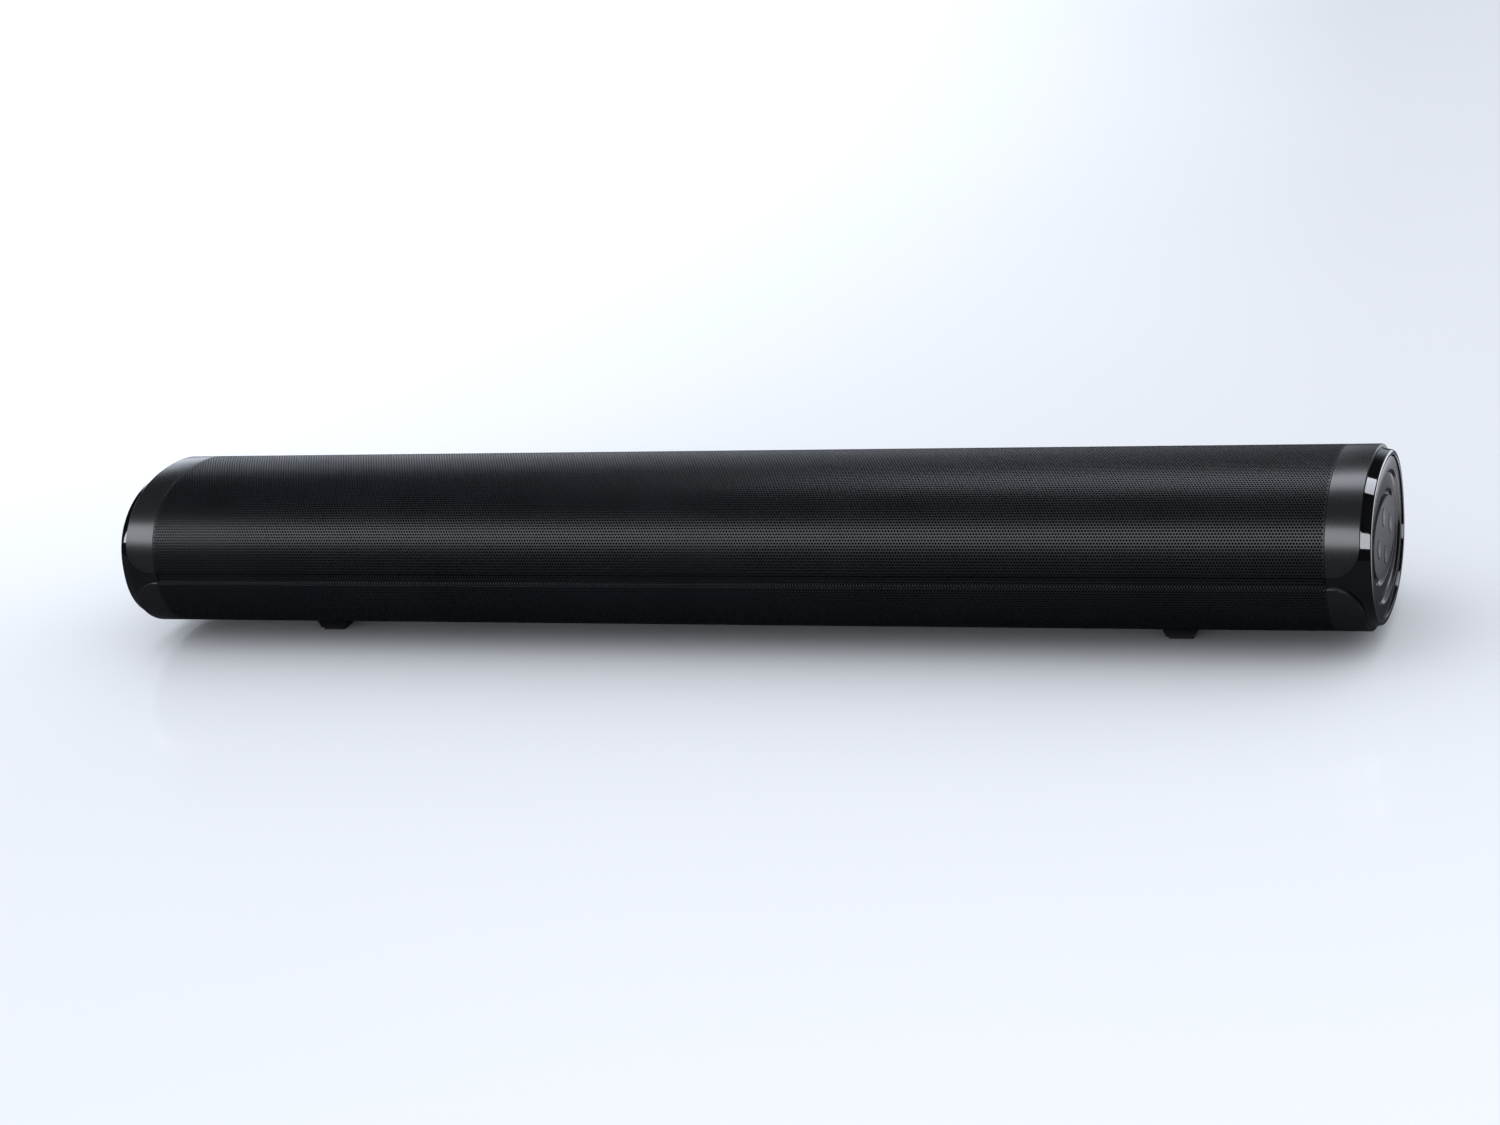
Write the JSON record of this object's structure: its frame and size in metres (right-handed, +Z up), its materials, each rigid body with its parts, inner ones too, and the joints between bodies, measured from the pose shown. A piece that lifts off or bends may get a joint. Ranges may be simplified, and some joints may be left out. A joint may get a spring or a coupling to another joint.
{
  "type": "soundbar",
  "caption": "Oval-section soundbar with wrapped perforated grille, flared end caps, side push buttons, ported chambers, rear sockets, keyholes and two feet.",
  "frame": {"origin": "middle of the floor footprint, under the centre of the bar", "axes": "+X along the bar to the control end, -Y out of the perforated front, +Z up"},
  "size_m": [0.71, 0.124, 0.094],
  "materials": {
    "cabinet_plastic": "moulded ABS with a fine spark texture",
    "perforated_steel": "perforated sheet, powder coated blue-black",
    "gloss_cap": "piano-black moulded ABS",
    "satin_band": "semi-gloss moulded ABS",
    "end_plate": "satin moulded ABS",
    "control_plate": "satin graphite plastic",
    "button_plastic": "satin keycap with a pale moulded icon",
    "circuit_board": "green solder mask on glass-epoxy board",
    "black_component": "black moulded component body",
    "pressed_steel": "black painted pressed steel",
    "motor_steel": "zinc plated plates on a ferrite ring",
    "paper_cone": "pressed black paper",
    "soft_rubber": "soft black rubber",
    "spider_cloth": "resin-stiffened cloth",
    "foam_gasket": "closed-cell foam",
    "port_plastic": "satin moulded plastic",
    "aluminium_fins": "extruded, mill finish",
    "lamp_lens": "clear lamp lens",
    "receiver_lens": "dark infrared window",
    "lead_insulation": "flexible insulation",
    "steel_screw": "black zinc plated steel"
  },
  "bodies": {
    "cabinet": {"aux_socket": "black_component", "bass_port_left": "port_plastic", "bass_port_right": "port_plastic", "blank_disc": "control_plate", "board_screws": "steel_screw", "cabinet_shell": "cabinet_plastic", "capacitors": "black_component", "case_screws": "steel_screw", "control_board": "circuit_board", "control_disc": "control_plate", "control_lead": "lead_insulation", "dc_socket": "black_component", "driver_1_frame": "pressed_steel", "driver_1_motor": "motor_steel", "driver_1_surround": "soft_rubber", "driver_2_frame": "pressed_steel", "driver_2_motor": "motor_steel", "driver_2_surround": "soft_rubber", "driver_3_frame": "pressed_steel", "driver_3_motor": "motor_steel", "driver_3_surround": "soft_rubber", "driver_4_frame": "pressed_steel", "driver_4_motor": "motor_steel", "driver_4_surround": "soft_rubber", "driver_gaskets": "foam_gasket", "driver_screws": "steel_screw", "driver_spiders": "spider_cloth", "end_band_left": "satin_band", "end_band_right": "satin_band", "end_cap_screws": "steel_screw", "end_cup_left": "gloss_cap", "end_cup_right": "gloss_cap", "end_face_left": "end_plate", "end_face_right": "end_plate", "end_gaskets": "foam_gasket", "filter_coils": "black_component", "foot_left": "cabinet_plastic", "foot_pads": "soft_rubber", "foot_right": "cabinet_plastic", "front_baffle": "cabinet_plastic", "front_grille": "perforated_steel", "heat_sink": "aluminium_fins", "indicator_board": "circuit_board", "jack_tray": "black_component", "main_board": "circuit_board", "optical_socket": "black_component", "remote_receiver": "receiver_lens", "speaker_leads": "lead_insulation", "status_lamps": "lamp_lens", "tact_switches": "black_component", "usb_socket": "black_component", "wireless_module": "circuit_board"},
    "button_power_key": {"button_power": "button_plastic"},
    "button_source_key": {"button_source": "button_plastic"},
    "button_volume_up_key": {"button_volume_up": "button_plastic"},
    "button_volume_down_key": {"button_volume_down": "button_plastic"},
    "driver_1_diaphragm": {"driver_1_cone": "paper_cone"},
    "driver_2_diaphragm": {"driver_2_cone": "paper_cone"},
    "driver_3_diaphragm": {"driver_3_cone": "paper_cone"},
    "driver_4_diaphragm": {"driver_4_cone": "paper_cone"}
  },
  "joints": [
    {"name": "button_power_press", "type": "slide", "parent": "cabinet", "child": "button_power_key", "axis": [-1, 0, 0], "range_m": [0, 0.0008], "stiffness_N_per_m": 1800},
    {"name": "button_source_press", "type": "slide", "parent": "cabinet", "child": "button_source_key", "axis": [-1, 0, 0], "range_m": [0, 0.0008], "stiffness_N_per_m": 1800},
    {"name": "button_volume_up_press", "type": "slide", "parent": "cabinet", "child": "button_volume_up_key", "axis": [-1, 0, 0], "range_m": [0, 0.0008], "stiffness_N_per_m": 1800},
    {"name": "button_volume_down_press", "type": "slide", "parent": "cabinet", "child": "button_volume_down_key", "axis": [-1, 0, 0], "range_m": [0, 0.0008], "stiffness_N_per_m": 1800},
    {"name": "driver_1_stroke", "type": "slide", "parent": "cabinet", "child": "driver_1_diaphragm", "axis": [0, -1, 0], "range_m": [-0.002, 0.002], "stiffness_N_per_m": 1400, "deforming": ["driver_1_surround", "driver_spiders"]},
    {"name": "driver_2_stroke", "type": "slide", "parent": "cabinet", "child": "driver_2_diaphragm", "axis": [0, -1, 0], "range_m": [-0.002, 0.002], "stiffness_N_per_m": 1400, "deforming": ["driver_2_surround", "driver_spiders"]},
    {"name": "driver_3_stroke", "type": "slide", "parent": "cabinet", "child": "driver_3_diaphragm", "axis": [0, -1, 0], "range_m": [-0.002, 0.002], "stiffness_N_per_m": 1400, "deforming": ["driver_3_surround", "driver_spiders"]},
    {"name": "driver_4_stroke", "type": "slide", "parent": "cabinet", "child": "driver_4_diaphragm", "axis": [0, -1, 0], "range_m": [-0.002, 0.002], "stiffness_N_per_m": 1400, "deforming": ["driver_4_surround", "driver_spiders"]}
  ]
}
